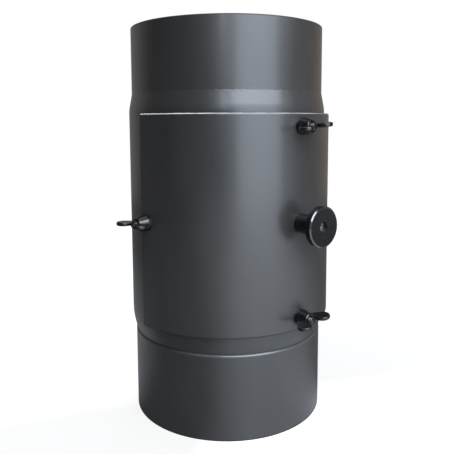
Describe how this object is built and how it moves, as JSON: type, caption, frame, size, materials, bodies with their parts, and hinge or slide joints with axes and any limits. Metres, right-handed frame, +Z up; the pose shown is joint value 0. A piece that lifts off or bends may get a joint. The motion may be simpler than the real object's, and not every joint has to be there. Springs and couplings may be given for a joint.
{
  "type": "stove pipe particulate filter",
  "caption": "Flue pipe section with a wider housing, a curved clamped door with wing nuts and a pull knob, and a removable wire filter cartridge inside.",
  "frame": {"origin": "on the flue axis, in the plane of the lower pipe's bottom rim", "axes": "+Z up along the flue, -Y out through the middle of the door and its knob, +X to the right of the door"},
  "size_m": [0.1992, 0.1797, 0.3],
  "materials": {
    "heat_proof_paint": "satin",
    "blackened_steel": "satin",
    "zinc_steel": "satin",
    "stainless_sheet": "satin",
    "knitted_wire": "satin",
    "fibre_gasket": "matte",
    "black_moulding": "satin"
  },
  "bodies": {
    "filter_unit": {"upper_pipe": "heat_proof_paint", "housing": "heat_proof_paint", "lower_pipe": "heat_proof_paint", "seat_ring": "heat_proof_paint", "door": "heat_proof_paint", "door_gasket": "fibre_gasket", "door_studs": "blackened_steel", "knob": "black_moulding", "knob_screw": "zinc_steel", "knob_washer": "zinc_steel", "knob_nut": "zinc_steel", "cartridge_shell": "stainless_sheet", "cartridge_lower_grid": "stainless_sheet", "cartridge_upper_grid": "stainless_sheet", "filter_pack": "knitted_wire", "tie_rod": "zinc_steel", "tie_rod_washers": "zinc_steel", "tie_rod_nuts": "zinc_steel"},
    "washer_top": {"washer_top": "blackened_steel"},
    "wing_nut_top": {"wing_nut_top": "blackened_steel"},
    "washer_bottom": {"washer_bottom": "blackened_steel"},
    "wing_nut_bottom": {"wing_nut_bottom": "blackened_steel"},
    "washer_left": {"washer_left": "blackened_steel"},
    "wing_nut_left": {"wing_nut_left": "blackened_steel"},
    "washer_right": {"washer_right": "blackened_steel"},
    "wing_nut_right": {"wing_nut_right": "blackened_steel"}
  },
  "joints": [
    {"name": "washer_top_slide", "type": "slide", "parent": "filter_unit", "child": "washer_top", "axis": [0, -1, 0], "range_m": [0, 0.01]},
    {"name": "wing_nut_top_turn", "type": "hinge", "parent": "washer_top", "child": "wing_nut_top", "pos_m": [0, -0.08105, 0.225], "axis": [0, -1, 0], "range_deg": [0, 3636]},
    {"name": "washer_bottom_slide", "type": "slide", "parent": "filter_unit", "child": "washer_bottom", "axis": [0, -1, 0], "range_m": [0, 0.01]},
    {"name": "wing_nut_bottom_turn", "type": "hinge", "parent": "washer_bottom", "child": "wing_nut_bottom", "pos_m": [0, -0.08105, 0.0875], "axis": [0, -1, 0], "range_deg": [0, 3636]},
    {"name": "washer_left_slide", "type": "slide", "parent": "filter_unit", "child": "washer_left", "axis": [-0.998, -0.0639, 0], "range_m": [0, 0.01]},
    {"name": "wing_nut_left_turn", "type": "hinge", "parent": "washer_left", "child": "wing_nut_left", "pos_m": [-0.08088, -0.00518, 0.15625], "axis": [-0.998, -0.0639, 0], "range_deg": [0, 3636]},
    {"name": "washer_right_slide", "type": "slide", "parent": "filter_unit", "child": "washer_right", "axis": [0.998, -0.0639, 0], "range_m": [0, 0.01]},
    {"name": "wing_nut_right_turn", "type": "hinge", "parent": "washer_right", "child": "wing_nut_right", "pos_m": [0.08088, -0.00518, 0.15625], "axis": [0.998, -0.0639, 0], "range_deg": [0, 3636]}
  ],
  "couplings": [
    {"joint": "wing_nut_top_turn", "follows": "washer_top_slide", "rad_per_m": 6283.2},
    {"joint": "wing_nut_bottom_turn", "follows": "washer_bottom_slide", "rad_per_m": 6283.2},
    {"joint": "wing_nut_left_turn", "follows": "washer_left_slide", "rad_per_m": 6283.2},
    {"joint": "wing_nut_right_turn", "follows": "washer_right_slide", "rad_per_m": 6283.2}
  ]
}
